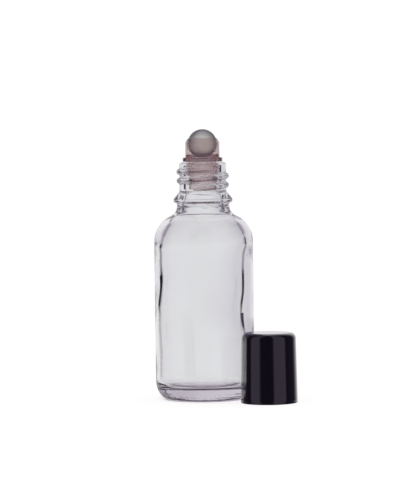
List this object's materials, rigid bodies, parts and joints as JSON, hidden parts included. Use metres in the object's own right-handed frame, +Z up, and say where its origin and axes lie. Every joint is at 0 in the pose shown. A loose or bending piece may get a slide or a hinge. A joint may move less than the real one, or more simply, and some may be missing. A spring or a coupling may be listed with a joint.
{
  "type": "roll-on bottle",
  "caption": "Clear glass roll-on bottle with a rolling ball in a snap-in neck housing, standing open beside its black screw cap.",
  "frame": {"origin": "on the bottle's axis, at the surface that the bottle stands on", "axes": "+Z up along the bottle's axis, towards the ball; -Y is the front; the cap stands at the front right, towards +X and -Y"},
  "size_m": [0.0468, 0.0422, 0.09],
  "materials": {
    "clear_glass": "clear, fire polished",
    "natural_polymer": "translucent, as moulded",
    "ball_polymer": "smooth, satin",
    "gloss_black": "glossy",
    "liner_foam": "soft, matt"
  },
  "bodies": {
    "bottle": {"glass_bottle": "clear_glass"},
    "housing": {"ball_housing": "natural_polymer"},
    "ball": {"roller_ball": "ball_polymer"},
    "liner": {"cap_liner": "liner_foam"},
    "cap": {"screw_cap": "gloss_black"}
  },
  "joints": [
    {"name": "housing_pull", "type": "slide", "parent": "bottle", "child": "housing", "axis": [0, 0, 1], "range_m": [0, 0.012]},
    {"name": "ball_roll", "type": "hinge", "parent": "housing", "child": "ball", "pos_m": [0, 0, 0.08515], "axis": [1, 0, 0], "continuous": true},
    {"name": "cap_lift", "type": "slide", "parent": "bottle", "child": "liner", "axis": [0, 0, 1], "range_m": [0, 0.1]},
    {"name": "cap_turn", "type": "hinge", "parent": "liner", "child": "cap", "pos_m": [0.02087, -0.01631, 0], "axis": [0, 0, 1], "continuous": true}
  ]
}
